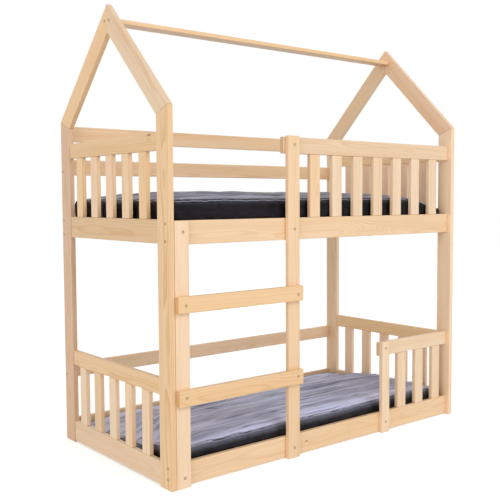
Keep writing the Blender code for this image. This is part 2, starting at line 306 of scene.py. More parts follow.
def shaded(tree, colour, tone, shown, strength):
    """A colour multiplied by a tone, as far as the tone is shown times its strength."""
    return blend_colours(tree, calc(tree, "MULTIPLY", shown, strength), colour, tone, "MULTIPLY")


def finish_pine(tree, shader, vector, grain, figure, tape=None):
    """Colour, lacquer and relief of a board from its figure; tape is the share of a place under webbing."""
    values = {name: figure[name] for name in (*FIGURE_NUMBERS, "Knot Place")}
    seen = add_node(tree, "ShaderNodeGroup", {"Board": vector, **values}, node_tree=pine_figure).outputs
    late = calc(tree, "MULTIPLY", seen["Late Wood"], figure["Contrast"])
    colour = blend_colours(tree, late, tinted(EARLY_WOOD, figure["Tint"]), tinted(LATE_WOOD, figure["Tint"]))
    colour = shaded(tree, colour, WARM_STREAK, rising(tree, seen["Streak"], *STREAK_SHOWS), STREAK_STRENGTH)
    colour = shaded(tree, colour, DARK_FIBRE, rising(tree, seen["Fibre"], *FIBRE_SHOWS), FIBRE_STRENGTH)
    colour = blend_colours(tree, calc(tree, "MULTIPLY", seen["Knot"], KNOT_STRENGTH), colour, KNOT_WOOD)
    normal = add_node(tree, "ShaderNodeNewGeometry").outputs["Normal"]
    facing = calc(tree, "ABSOLUTE", vector_calc(tree, "DOT_PRODUCT", normal, grain))
    colour = shaded(tree, colour, END_GRAIN, rising(tree, facing, *END_GRAIN_SHOWS), END_GRAIN_STRENGTH)
    rough = calc(tree, "MULTIPLY_ADD", seen["Fibre"], *FIBRE_AND_PLAIN_ROUGHNESS)
    if tape is not None:
        colour = blend_colours(tree, tape, colour, WEBBING)
        rough = calc(tree, "MAXIMUM", rough, tape)
    feed(tree, shader, {
        "Base Color": colour,
        "Roughness": rough,
        "Specular IOR Level": 0.38,
        "Coat Weight": LACQUER if tape is None else 0.0,
        "Coat Roughness": 0.22,
    })
    relief = calc(tree, "ADD", calc(tree, "MULTIPLY", seen["Fibre"], FIBRE_RELIEF), seen["Late Wood"])
    emboss(tree, shader, relief, *PINE_RELIEF)


# Tints of sawn pine, as shares of the plain early wood.
PLAIN = (1.00, 1.00, 1.00)
HONEY = (0.99, 0.95, 0.85)
SOFT_HONEY = (1.00, 0.98, 0.92)
PALE = (1.00, 1.04, 1.12)
BLOND = (1.01, 1.08, 1.20)
GOLDEN = (1.09, 1.08, 0.98)
ROSY = (1.02, 0.98, 1.03)
# Brighter than rosy pine: painted light on boards that the lamps leave in shade.
ROSY_LIFTED_FOR_SHADE = (1.06, 1.06, 1.16)

# The boards that differ from plain pine in the photograph: tint, level and strength of the figure. The levels
# are
#  partly the boards' own tone and partly painted light and shade: raised on boards in the bed's shade (the
#  right end inside, the back guards), lowered on left outer boards that the left lamp lights strongly.
BOARD_TINTS_AND_LIGHT_LEVELS = {
    "front_left_post": (SOFT_HONEY, 0.985, 0.85),
    "back_left_post": (ROSY, 0.82, 0.60),
    "front_left_rafter": (PALE, 0.93, 0.55),
    "upper_left_end_rail": (HONEY, 0.86, 0.60),
    "upper_left_end_top_rail": (HONEY, 0.94, 0.60),
    "lower_left_end_rail": (PALE, 0.96, 0.45),
    "lower_left_end_top_rail": (HONEY, 0.97, 0.50),
    "front_right_post": (PALE, 1.08, 0.35),
    "back_right_post": (PALE, 1.08, 0.35),
    "upper_right_end_top_rail": (GOLDEN, 1.03, 0.45),
    "lower_right_end_top_rail": (GOLDEN, 1.04, 0.50),
    "upper_right_end_rail_with_slats": (ROSY_LIFTED_FOR_SHADE, 1.07, 0.30),
    "lower_right_end_rail_with_slats": (ROSY_LIFTED_FOR_SHADE, 1.07, 0.30),
    "lower_left_end_slat_1": (BLOND, 1.04, 0.50),
    "lower_left_end_slat_2": (PALE, 1.02, 0.40),
    "lower_left_end_slat_3": (BLOND, 1.01, 0.40),
    "lower_left_end_slat_4": (PLAIN, 0.97, 0.55),
    "lower_left_end_slat_5": (BLOND, 1.01, 0.40),
    "upper_back_guard_rail_low": (PLAIN, 1.08, 0.50),
    "upper_back_guard_rail_high": (PLAIN, 1.08, 0.50),
    "lower_back_guard_rail": (PALE, 1.11, 0.45),
    "left_ladder_stile": (PALE, 1.04, 0.35),
    "right_ladder_stile": (PLAIN, 1.01, 0.40),
    "high_rung": (HONEY, 1.02, 0.65),
    "low_rung": (HONEY, 1.00, 0.60),
    "upper_front_side_rail": (PLAIN, 1.00, 0.55),
    "lower_front_side_rail": (PLAIN, 1.02, 0.45),
    "upper_front_guard_rail": (PALE, 0.95, 0.45),
    "upper_guard_slat_1": (PLAIN, 1.03, 0.50),
    "upper_guard_slat_2": (BLOND, 0.99, 0.35),
    "upper_guard_slat_3": (BLOND, 0.99, 0.40),
    "upper_guard_slat_4": (PALE, 0.99, 0.60),
    "upper_guard_slat_5": (BLOND, 1.00, 0.30),
    "upper_guard_slat_6": (BLOND, 0.99, 0.30),
    "upper_guard_slat_7": (BLOND, 0.99, 0.35),
    "lower_guard_stile": (BLOND, 1.04, 0.35),
    "lower_front_guard_rail": (BLOND, 0.99, 0.35),
    "lower_guard_slat_1": (BLOND, 1.01, 0.40),
    "lower_guard_slat_2": (BLOND, 1.00, 0.40),
    "lower_guard_slat_3": (PALE, 1.00, 0.35),
}

# Knots: place in the bed and size. The last one lies under the rail's edge and only bends the rings over it.
KNOTS = {
    "upper_left_end_top_rail": ((-0.832, -0.2895, 1.3220), 0.0120),
    "front_right_post": ((0.7775, -0.4238, 1.3514), 0.0090),
    "lower_front_side_rail": ((-0.1373, -0.4038, 0.0502), 0.0078),
    "upper_front_side_rail": ((0.2500, -0.4038, 0.9020), 0.0300),
}
NO_KNOT = ((0.0, 0.0, 9.0), 0.0100)

# What the boards' own figures are drawn from: seeds, distances in metres, and the lean as a slope.
FIRST_BOARD_SEED = 4100
BOARD_SEED_STEP = 1.37
SLAT_SEED_STEP = 2.9
CONTRASTS = (0.35, 0.65)
PITH_ACROSS = 0.045
PITH_DEPTHS = (0.022, 0.070)
MOST_LEAN = 0.022

# Where the pieces that are one node with their slats change from rail to slat, slat to slat and wood to tape.
RAIL_WIDTH = 0.090
BASE_SLAT_PITCH = 0.11846
BASE_SLAT_HALF_GAP = 0.029
TAPE_PLACE_SHARE = 0.24
TAPE_HALF_WIDTH = 0.0154
TAPE_THICKNESS = 0.0012


def board_figure(index, name, centre, turn):
    """A board's own figure: where its pith lay, how it leans, its tint and level (painted light on some
    shaded boards and painted shade on some lit ones), and its knot if it has one.
    """
    draw = np.random.default_rng(FIRST_BOARD_SEED + index)
    drawn = [PLAIN, HONEY, PALE, ROSY][int(draw.integers(4))]
    tint, level, contrast = BOARD_TINTS_AND_LIGHT_LEVELS.get(name, (drawn, 1.0, float(draw.uniform(*CONTRASTS))))
    knot_place, knot_size = NO_KNOT
    if name in KNOTS:
        world_place, knot_size = KNOTS[name]
        knot_place = tuple(turn.to_3x3().transposed() @ (Vector(world_place) - centre))
    return {
        "Seed": index * BOARD_SEED_STEP,
        "Pith Across": float(draw.uniform(-PITH_ACROSS, PITH_ACROSS)),
        "Pith Deep": float(draw.choice((-1, 1)) * draw.uniform(*PITH_DEPTHS)),
        "Lean": float(draw.uniform(-MOST_LEAN, MOST_LEAN)),
        # The level paints light on some shaded boards and shade on some lit ones.
        "Tint": [share * level for share in tint],
        "Contrast": contrast,
        "Knot Place": knot_place,
        "Knot Size": knot_size,
    }


def slat_number(tree, place, start, pitch):
    """Which slat of a row a place belongs to, counted from 0; start lies half a gap before the first slat."""
    return calc(tree, "FLOOR", calc(tree, "DIVIDE", calc(tree, "SUBTRACT", place, start), pitch))


def slatted_end_look(tree, index, name, low, high):
    """A rail that is one node with its slats: the grain runs along the rail, and upright in the slats."""
    centre = (low + high) / 2
    axes = axes_of(tree, bed_place(tree))
    in_slat = calc(tree, "GREATER_THAN", axes[2], low.z + RAIL_WIDTH)
    along_rail = own_place(tree, centre, ACROSS)
    along_slat = own_place(tree, centre, UPRIGHT_FACING_SIDE)
    first_low, first_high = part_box("upper_left_end_slat_1")
    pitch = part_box("upper_left_end_slat_2")[0].y - first_low.y
    slat = slat_number(tree, axes[1], (first_low.y + first_high.y - pitch) / 2, pitch)
    figure = board_figure(index, name, centre, ACROSS)
    slat = calc(tree, "MULTIPLY", slat, in_slat)
    figure["Seed"] = calc(tree, "MULTIPLY_ADD", slat, SLAT_SEED_STEP, figure["Seed"])
    vector = blend_vectors(tree, in_slat, along_rail, along_slat)
    return vector, blend_vectors(tree, in_slat, (0, 1, 0), (0, 0, 1)), figure


def slat_base_look(tree, index, name, low, high):
    """Unlacquered slats across the bed, each from its own board, and the webbing stapled under them."""
    centre = (low + high) / 2
    axes = axes_of(tree, bed_place(tree))
    slat = slat_number(tree, axes[0], low.x - BASE_SLAT_HALF_GAP, BASE_SLAT_PITCH)
    figure = board_figure(index, name, centre, FLAT_ACROSS)
    figure["Seed"] = calc(tree, "MULTIPLY_ADD", slat, SLAT_SEED_STEP, figure["Seed"])
    from_tape = apart(tree, apart(tree, axes[1], centre.y), TAPE_PLACE_SHARE * (high.y - low.y))
    in_tape = calc(tree, "LESS_THAN", from_tape, TAPE_HALF_WIDTH)
    tape = calc(tree, "MULTIPLY", in_tape, calc(tree, "LESS_THAN", axes[2], low.z + TAPE_THICKNESS))
    return own_place(tree, centre, FLAT_ACROSS), (0, 1, 0), figure, tape


def board_look(tree, index, name, low, high):
    """A single board, with its grain along its length."""
    centre, turn = (low + high) / 2, board_turn(name, high - low)
    grain = turn.to_3x3() @ Vector((0, 0, 1))
    return own_place(tree, centre, turn), grain, board_figure(index, name, centre, turn)


wooden = [name for name in sorted(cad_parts) if "mattress" not in name]
for index, name in enumerate(wooden):
    look = board_look
    if name.endswith("rail_with_slats"):
        look = slatted_end_look
    elif name.endswith("slat_base"):
        look = slat_base_look
    material, tree, shader = material_tree(f"{name}_pine")
    finish_pine(tree, shader, *look(tree, index, name, *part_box(name)))
    set_material(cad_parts[name], material)

# Mattresses: the size of a cover in metres, and the limits that its points keep to.
COVER_HALF = np.array([0.800, 0.400])
COVER_EDGE_HEIGHT = 0.092
COVER_CROWN = 0.034
COVER_CELL = 0.012
COVER_INSET = 0.003
COVER_LIMITS = ((-0.806, -0.4030, 0.0), (0.806, 0.4030, math.inf))
FOOT_ROUND = 0.012
SIDE_FULLNESS = 5
TINY = 1e-9

# Where each drop of a worn mattress begins and over how much it eases, as shares of the half size.
BACK_EASE = (-0.10, 0.95)
LEFT_EASE = (0.70, 0.28)
LEFT_EASE_ACROSS = (-0.72, 0.40)
RIGHT_EASE = (0.55, 0.45)
CORNER_EASE = (0.72, 0.28)
CORNER_EASE_ACROSS = (-0.35, 0.90)

# The cloth: how much larger it is than the foam, how softly and how firmly it is held, how far it may move.
CLOTH_EXTRA = 0.03
CLOTH_SOFTNESS = 0.2
CLOTH_MOST = 0.0045
CLOTH_FRAMES = 20
HELD_BELOW, HOLD_FADES = 0.004, 0.03
CLOTH_SETTINGS = {
    "vertex_group_mass": "held", "use_pressure": True, "uniform_pressure_force": 1.0,
    "tension_stiffness": 15, "compression_stiffness": 15, "shear_stiffness": 5, "bending_stiffness": 10,
    "quality": 5, "shrink_min": -CLOTH_EXTRA,
}
PULL_REACH, PULL_WIDTH = 14, 6.0
PULLED_STRENGTH, LOOSE_STRENGTH = 1.35, 0.2

# The seam, its gathers (wavelength and height in metres) and the wrinkles of the top.
SEAM_SECTORS, SEAM_SMOOTHING = 180, 7
RIM_BAND, RIM_FOOT = 0.030, 0.010
GATHERS = ((0.019, 0.0005), (0.027, 0.0007), (0.041, 0.0009), (0.066, 0.0010), (0.120, 0.0010))
GATHER_REACH, GATHER_SWELL, GATHER_SLANT = 0.026, 0.17, 0.05
GATHER_UP, GATHER_OUT = 0.9, 0.7
WRINKLE_COUNT, WRINKLE_LENGTHS, WRINKLE_SLOPE = 18, (0.016, 0.075), 0.07
WRINKLE_STEEPNESS, WRINKLE_WANDER, WANDER_LENGTH, WRINKLE_FADE = 0.011, 0.010, 0.19, 0.014
SEAM_POINTS, SEAM_NEAREST, SEAM_WEIGHTS = 720, 5, (1, 1, 0.4)
SEAM_BAND, SEAM_FOOT, SEAM_LIFT = 0.03, 0.012, 0.004
PIPING_RADIUS, PIPING_SIDES, PIPING_OUT, PIPING_UP = 0.0016, 8, 0.0006, 0.7

# How each cover lies, and how its cloth looks; the threads are the dark and the light one of the top. Both
# covers
#  are one charcoal cloth: the tops' lavender threads are painted light, brighter on the lower cover to make
#      up for
#  the upper bunk's shade.
COVERS = {
    "upper": {
        "seed": 31, "plan_round": 0.035, "top_round": 0.016, "seam_inset": 0.002,
        "left_fullness": 9.0, "right_fullness": 3.0,
        "back_drop": 0.0, "left_drop": 0.0, "right_drop": 0.10, "corner_drop": 0.45,
        "weave_seed": 2.3, "groove_from_rim": 0.010, "gloss": 0.08, "sheen": 0.03,
        "fade_under_seam": 0.16, "rim_painted_highlight": 0.20,
        "lit_top_threads": ((0.080, 0.083, 0.115, 1), (0.320, 0.326, 0.420, 1)),
    },
    "lower": {
        "seed": 57, "plan_round": 0.050, "top_round": 0.040, "seam_inset": 0.014,
        "left_fullness": 4.0, "right_fullness": 4.0,
        "back_drop": 0.60, "left_drop": 0.42, "right_drop": 0.0, "corner_drop": 0.0,
        "weave_seed": 5.9, "groove_from_rim": 0.024, "gloss": 0.25, "sheen": 0.20,
        "fade_under_seam": 0.24, "rim_painted_highlight": 0.60,
        "lit_top_threads": ((0.185, 0.195, 0.290, 1), (0.620, 0.650, 0.890, 1)),
    },
}
# The side's near-black threads are painted shade; the side is the same cloth as the top.
SHADED_SIDE_THREADS = ((0.005, 0.004, 0.006, 1), (0.013, 0.011, 0.014, 1))
# The piping's threads are lighter than the side's: a painted highlight where the cord stands proud.
PIPING_HIGHLIGHT_THREADS = ((0.14, 0.14, 0.18, 1), (0.38, 0.38, 0.46, 1))
SHEEN_TINT = (0.82, 0.84, 1.0, 1)

# The weave, and the painted light and shade of the cover: features to a metre, and lengths in metres.
RAGGED_STRETCH, RAGGED_REACH = (90.0, 90.0, 40.0), 0.007
BROAD_STRETCH, BROAD_SHARE = (0.45, 30.0, 8.0), 0.55
NARROW_STRETCH, NARROW_SHARE = (4.0, 110.0, 60.0), 0.45
WANDER_STRETCH = (1.5, 36.0, 20.0)
CRINKLE_STRETCH = (40.0, 120.0, 90.0)
TOP_ENDS, FADE_ENDS, RIM_HIGHLIGHT_ENDS = (0.001, 0.007), (0.0, 0.032), (0.0, 0.16)
STRIPE_SHOWS, CREASE_WIDTH, GROOVE_WIDTH = (0.37, 0.63), (0.0, 0.028), (0.001, 0.006)
CREASE_PAINTED_SHADE, GROOVE_PAINTED_SHADE = 0.55, 0.90
NARROW_RELIEF, CREASE_RELIEF = 0.5, -0.4
CLOTH_RELIEF = (0.6, 0.0030)
PIPING_WEAVE = 350.0


def box_lattice(counts):
    """The outside of a box of cells: whole-number places (n, 3) and quads (m, 4).

    Each side is a grid of two parameters, the two whole numbers that vary on it.
    """
    corners = []
    near, far = ((0, 0), (0, 1), (1, 1), (1, 0)), ((0, 0), (1, 0), (1, 1), (0, 1))
    for axis in range(3):
        first, second = [other for other in range(3) if other != axis]
        a, b = np.meshgrid(np.arange(counts[first]), np.arange(counts[second]), indexing="ij")
        for level, steps in ((0, near), (counts[axis], far)):
            quad = np.zeros(a.shape + (4, 3), int)
            order = steps if axis != 1 else steps[::-1]
            for corner, (step_a, step_b) in enumerate(order):
                quad[..., corner, axis] = level
                quad[..., corner, first] = a + step_a
                quad[..., corner, second] = b + step_b
            corners.append(quad.reshape(-1, 4, 3))
    corners = np.concatenate(corners)
    places, index = np.unique(corners.reshape(-1, 3), axis=0, return_inverse=True)
    return places, index.reshape(-1, 4)


def eased(place, start, length):
    """0 up to start, 1 from start + length on, with a smooth rise between."""
    share = np.clip((place - start) / length, 0, 1)
    return share * share * (3 - 2 * share)


def from_corners(flat, half, corner):
    """For places in plan: the nearest place inside the corners' centres, the reach from it, its direction."""
    middle = np.clip(flat, corner - half, half - corner)
    reach = flat - middle
    length = np.hypot(reach[:, 0], reach[:, 1])
    return middle, reach, reach / np.maximum(length, TINY)[:, None]


def foam_block(lie):
    """A soft mattress under its cover, centred on the middle of its underside.

    In plan it is a rectangle with round corners of plan_round; its upper and lower edges are rounded by
    top_round and FOOT_ROUND. The top swells by crown * (1 - s^p) * (1 - t^q), where s and t run from 0 in the
    middle to 1 at an end and at a side, and p differs between the two ends. A worn mattress lies lower along
    its back, at an end or at a corner: there the heights are scaled down by eased steps. The block is smaller
    all round by COVER_INSET, for the cover to fill out again.
    """
    plan_round = lie["plan_round"]
    counts = [round(side / COVER_CELL) for side in (*(2 * COVER_HALF), COVER_EDGE_HEIGHT)]
    places, quads = box_lattice(counts)
    share = places / np.array(counts)
    height = share[:, 2] * COVER_EDGE_HEIGHT
    middle, reach, outward = from_corners((share[:, :2] * 2 - 1) * COVER_HALF, COVER_HALF, plan_round)
    from_middle = np.abs(reach).max(axis=1)
    edge = plan_round - from_middle
    for rounding, from_edge, direction in (
        (lie["top_round"], COVER_EDGE_HEIGHT - height, -1.0),
        (FOOT_ROUND, height, 1.0),
    ):
        out = np.clip(rounding - edge, 0, None)
        up = np.clip(rounding - from_edge, 0, None)
        shrink = np.maximum(out, up) / np.maximum(np.hypot(out, up), TINY)
        inside = (out > 0) & (up > 0)
        edge = np.where(inside, rounding - out * shrink, edge)
        height = height - np.where(inside, direction * up * (shrink - 1), 0)
    plan = middle + outward * (plan_round - edge)[:, None]
    along, across = (plan / COVER_HALF).T
    power = np.where(along < 0, lie["left_fullness"], lie["right_fullness"])
    swell = (1 - np.abs(along) ** power) * (1 - np.abs(across) ** SIDE_FULLNESS)
    height = height + COVER_CROWN * swell * np.clip(2 * height / COVER_EDGE_HEIGHT - 1, 0, 1) ** 2
    back = lie["back_drop"] * eased(across, *BACK_EASE)
    left = lie["left_drop"] * eased(-along, *LEFT_EASE) * eased(across, *LEFT_EASE_ACROSS)
    right = lie["right_drop"] * eased(along, *RIGHT_EASE)
    corner = lie["corner_drop"] * eased(along, *CORNER_EASE) * eased(-across, *CORNER_EASE_ACROSS)
    height = height * (1 - back) * (1 - left) * (1 - right) * (1 - corner)
    plan = plan - outward * np.where(from_middle > 0, COVER_INSET, 0)[:, None]
    height = np.where(height > COVER_EDGE_HEIGHT / 2, height - COVER_INSET, height)
    return np.column_stack([plan, height]), quads, places


def pulled_lengthwise(moved, places):
    """Draws the settled folds of the top out along the bed, as a cover that is pulled from its two ends.

    On the top's grid each movement becomes a bell-weighted mean of its neighbours along the length.
    """
    top = places[:, 2] == places[:, 2].max()
    row, line = places[top, 0], places[top, 1]
    sheet = np.zeros((places[:, 0].max() + 1, places[:, 1].max() + 1))
    sheet[row, line] = moved[top, 2]
    bell = np.exp(-((np.arange(-PULL_REACH, PULL_REACH + 1) / PULL_WIDTH) ** 2))
    bell /= bell.sum()
    padded = np.pad(sheet, ((PULL_REACH, PULL_REACH), (0, 0)), mode="edge")
    drawn = sum(weight * padded[start : start + len(sheet)] for start, weight in enumerate(bell))
    pulled = moved.copy()
    streaks = PULLED_STRENGTH * (drawn - drawn.mean()) + drawn.mean() + LOOSE_STRENGTH * (sheet - drawn)
    pulled[top, 2] = streaks[row, line]
    return pulled


def evaluated(piece):
    """The points and quads of a piece with its modifiers; the piece and its mesh are then removed."""
    shown = piece.evaluated_get(bpy.context.evaluated_depsgraph_get())
    fine = shown.to_mesh()
    points = np.empty(len(fine.vertices) * 3)
    fine.vertices.foreach_get("co", points)
    quads = np.empty(len(fine.polygons) * 4, np.int64)
    fine.loops.foreach_get("vertex_index", quads)
    shown.to_mesh_clear()
    mesh = piece.data
    bpy.data.objects.remove(piece, do_unlink=True)
    bpy.data.meshes.remove(mesh)
    return points.reshape(-1, 3), quads.reshape(-1, 4)


def settled_cover(name, points, quads):
    """The cover as loose cloth over the foam: it is cut a little too large and settles in soft folds.

    Every point is held softly near the foam, and the underside firmly. A movement m becomes
    CLOTH_MOST * tanh(m / CLOTH_MOST), so no point moves further than that.
    """
    cloth_piece = new_piece(name + "_cloth", mesh_of(name + "_cloth", points, quads))
    hold = np.round(np.clip(1 - (points[:, 2] - HELD_BELOW) / HOLD_FADES, CLOTH_SOFTNESS, 1), 2)
    group = cloth_piece.vertex_groups.new(name="held")
    for level in np.unique(hold):
        group.add(np.nonzero(hold == level)[0].tolist(), float(level), "REPLACE")
    cloth = cloth_piece.modifiers.new("cover", "CLOTH")
    cloth.point_cache.frame_start = 1
    cloth.point_cache.frame_end = CLOTH_FRAMES
    for setting, value in CLOTH_SETTINGS.items():
        setattr(cloth.settings, setting, value)
    cloth.settings.effector_weights.gravity = 0
    for frame_number in range(1, CLOTH_FRAMES + 1):
        scene.frame_set(frame_number)
    moved = evaluated(cloth_piece)[0] - points
    scene.frame_set(1)
    length = np.linalg.norm(moved, axis=1)
    kept_share = CLOTH_MOST / np.maximum(length, TINY) * np.tanh(length / CLOTH_MOST)
    return points + moved * kept_share[:, None]


def subdivided(name, points, quads):
    """One smooth subdivision of a closed grid; its points and quads."""
    coarse = new_piece(name + "_coarse", mesh_of(name + "_coarse", points, quads))
    coarse.modifiers.new("smooth", "SUBSURF").levels = 1
    return evaluated(coarse)


def bearing(places):
    """The angle of each place in plan round the middle, on a cover drawn as long as it is wide."""
    along, across = (places[:, :2] / COVER_HALF).T
    return np.arctan2(across, along)


def from_rim(points):
    """How far each point lies inside the nearest side of the cover's plan."""
    return (COVER_HALF - np.abs(points[:, :2])).min(axis=1)


def edge_height(points, places):
    """The height of the seam round a settled cover of these points, at each of the places in plan.

    It is the highest point near the rim in each sector, smoothed over a few neighbouring sectors.
    """
    rim = (from_rim(points) < RIM_BAND) & (points[:, 2] > RIM_FOOT)
    steps = np.linspace(-math.pi, math.pi, SEAM_SECTORS + 1)
    which = np.clip(np.digitize(bearing(points)[rim], steps) - 1, 0, SEAM_SECTORS - 1)
    highest = np.zeros(SEAM_SECTORS)
    np.maximum.at(highest, which, points[rim, 2])
    beside = SEAM_SMOOTHING // 2
    around = np.concatenate([highest[-beside:], highest, highest[:beside]])
    smooth = np.convolve(around, np.ones(SEAM_SMOOTHING) / SEAM_SMOOTHING, "valid")
    middle = (steps[:-1] + steps[1:]) / 2
    return np.interp(bearing(places), middle, smooth, period=2 * math.pi)


def seam_puckers(points, seed):
    """Gathers along the seam between top and side, and lengthwise wrinkles on the top.

    The gathers are a sum of waves along the seam, times exp(-(d / GATHER_REACH)^2) with d the distance from
    it. The wrinkles are a sum of waves across the top, each a few degrees off the length, so that they run
    together, fade and split as pulled cloth does.
    """
    draw = np.random.default_rng(seed)
    x, y, z = points.T
    share = np.abs(points[:, :2]) / COVER_HALF
    along = np.where(share[:, 1] > share[:, 0], x, y)
    seam = edge_height(points, points)
    distance = np.hypot(from_rim(points).clip(0), np.clip(seam - z, 0, None))
    gathers = np.zeros(len(points))
    for wavelength, height in GATHERS:
        turn, drift, lean = draw.uniform(0, 2 * math.pi, 3)
        swell = 0.55 + 0.45 * np.sin(along / GATHER_SWELL + drift)
        slant = (6 + 5 * np.sin(lean)) * distance / GATHER_SLANT
        gathers += height * swell * np.sin(2 * math.pi * along / wavelength + turn + slant)
    gathers *= np.exp(-((distance / GATHER_REACH) ** 2))
    wrinkles = np.zeros(len(points))
    for _ in range(WRINKLE_COUNT):
        wavelength = draw.uniform(*WRINKLE_LENGTHS)
        slope = draw.normal(0, WRINKLE_SLOPE)
        turn, drift = draw.uniform(0, 2 * math.pi, 2)
        place = y + slope * x + WRINKLE_WANDER * np.sin(x / WANDER_LENGTH + drift)
        wrinkles += WRINKLE_STEEPNESS * wavelength * np.sin(2 * math.pi * place / wavelength + turn)
    top = np.clip((z - seam + WRINKLE_FADE) / WRINKLE_FADE, 0, 1)
    moved = points.copy()
    moved[:, 2] += gathers * GATHER_UP + wrinkles * top
    moved[:, :2] += gathers[:, None] * GATHER_OUT * np.sign(points[:, :2])
    return moved


def seam_path(points, corner, inset):
    """The seam round a cover: a round-cornered rectangle inset from the rim, laid on the cover's top.

    Even steps along the rectangle are drawn to the mean of the cover's nearest points and smoothed.
    """
    half = COVER_HALF - inset
    angle = np.linspace(0, 2 * math.pi, 4 * SEAM_POINTS, endpoint=False)
    ray = np.column_stack([np.cos(angle), np.sin(angle)])
    middle, _, outward = from_corners(ray / np.abs(ray / half).max(axis=1)[:, None], half, corner)
    flat = middle + outward * corner
    step = np.linalg.norm(np.roll(flat, -1, axis=0) - flat, axis=1)
    place = np.concatenate([[0], np.cumsum(step)])
    wanted = np.linspace(0, place[-1], SEAM_POINTS, endpoint=False)
    around = np.column_stack([flat, outward])
    around = np.vstack([around, around[:1]])
    even = np.column_stack([np.interp(wanted, place, column) for column in around.T])
    line, outward = even[:, :2], even[:, 2:]
    near = points[(from_rim(points) < inset + SEAM_BAND) & (points[:, 2] > SEAM_FOOT)]
    seam = np.column_stack([line, edge_height(points, line) + SEAM_LIFT])
    for _ in range(2):
        gap = ((seam[:, None, :] - near[None]) ** 2 * SEAM_WEIGHTS).sum(axis=2)
        closest = np.argpartition(gap, SEAM_NEAREST, axis=1)[:, :SEAM_NEAREST]
        seam = near[closest].mean(axis=1)
    for _ in range(2):
        seam = (np.roll(seam, 1, axis=0) + 2 * seam + np.roll(seam, -1, axis=0)) / 4
    return seam + np.column_stack([outward, np.full(SEAM_POINTS, PIPING_UP)]) * PIPING_OUT


def tube_round(path):
    """The piping as a closed tube along a closed path: its circle stands square to the path at each point."""
    ahead = np.roll(path, -1, axis=0) - np.roll(path, 1, axis=0)
    ahead /= np.linalg.norm(ahead, axis=1)[:, None]
    side = np.cross(ahead, (0.0, 0.0, 1.0))
    side /= np.linalg.norm(side, axis=1)[:, None]
    up = np.cross(side, ahead)
    angle = np.arange(PIPING_SIDES) * 2 * math.pi / PIPING_SIDES
    circle = side[:, None] * np.cos(angle)[:, None] + up[:, None] * np.sin(angle)[:, None]
    points = (path[:, None] + PIPING_RADIUS * circle).reshape(-1, 3)
    return points, ring_quads(len(path), PIPING_SIDES, closed=True)[:, [0, 3, 2, 1]]


def cover_fabric(bunk, origin):
    """Charcoal sateen, one cloth all round: the lavender-grey top with woven lengthwise stripes is painted
    light and sheen, and the near-black side is painted shade.
    """
    look = COVERS[bunk]
    seed = look["weave_seed"]
    material, tree, shader = material_tree(f"{bunk}_cover_fabric")
    cloth = own_place(tree, origin, Matrix.Identity(4))
    under_seam = add_node(tree, "ShaderNodeAttribute", attribute_name="under_seam").outputs["Fac"]
    inside = add_node(tree, "ShaderNodeAttribute", attribute_name="from_rim").outputs["Fac"]
    ragged = calc(tree, "SUBTRACT", stretched_noise(tree, cloth, RAGGED_STRETCH, seed + 8), 0.5)
    under = calc(tree, "MULTIPLY_ADD", ragged, RAGGED_REACH, under_seam)
    # Painted light: top is the share of the lit top colour; below the seam it fades into the painted shade of
    # the side.
    fade = calc(tree, "MULTIPLY", falling(tree, under, *FADE_ENDS), look["fade_under_seam"])
    top = calc(tree, "MAXIMUM", falling(tree, under, *TOP_ENDS), fade)
    broad = stretched_noise(tree, cloth, BROAD_STRETCH, seed, 3.0)
    narrow = stretched_noise(tree, cloth, NARROW_STRETCH, seed + 4)
    stripes_and_painted_light = calc(tree, "MULTIPLY_ADD", broad, BROAD_SHARE, calc(tree, "MULTIPLY", narrow, NARROW_SHARE))
    stripes_and_painted_light = rising(tree, stripes_and_painted_light, *STRIPE_SHOWS)
    # Painted highlight: the stripes are lightened towards the rim, where the top rounds over to the front.
    stripes_and_painted_light = calc(tree, "MULTIPLY_ADD", falling(tree, inside, *RIM_HIGHLIGHT_ENDS), look["rim_painted_highlight"], stripes_and_painted_light)
    wander = stretched_noise(tree, cloth, WANDER_STRETCH, seed + 11, roughness=0.5)
    crease = falling(tree, apart(tree, wander, 0.5), *CREASE_WIDTH)
    groove = falling(tree, apart(tree, inside, look["groove_from_rim"]), *GROOVE_WIDTH)
    # Painted shade: the wandering creases are darkened.
    stripes_and_painted_light = calc(tree, "SUBTRACT", stripes_and_painted_light, calc(tree, "MULTIPLY", crease, CREASE_PAINTED_SHADE))
    # Painted shade: a dark line in the seam's groove, groove_from_rim inside the rim.
    stripes_and_painted_light = calc(tree, "SUBTRACT", stripes_and_painted_light, calc(tree, "MULTIPLY", groove, GROOVE_PAINTED_SHADE))
    # Painted light and shade: one cloth, lavender where the top is lit and near black round the shaded side.
    lit_top_colour = blend_colours(tree, stripes_and_painted_light, *look["lit_top_threads"])
    shaded_side_colour = blend_colours(tree, stripes_and_painted_light, *SHADED_SIDE_THREADS)
    feed(tree, shader, {
        "Base Color": blend_colours(tree, top, shaded_side_colour, lit_top_colour),
        "Roughness": calc(tree, "MULTIPLY_ADD", stripes_and_painted_light, -0.10, 0.50),
        "Specular IOR Level": calc(tree, "MULTIPLY_ADD", top, look["gloss"], 0.10),
        "Sheen Weight": calc(tree, "MULTIPLY", top, look["sheen"]),
        "Sheen Roughness": 0.40,
        "Sheen Tint": SHEEN_TINT,
    })
    crinkle = stretched_noise(tree, cloth, CRINKLE_STRETCH, seed, 3.0)
    relief = calc(tree, "MULTIPLY_ADD", narrow, NARROW_RELIEF, crinkle)
    relief = calc(tree, "MULTIPLY_ADD", crease, CREASE_RELIEF, relief)
    emboss(tree, shader, relief, *CLOTH_RELIEF)
    return material


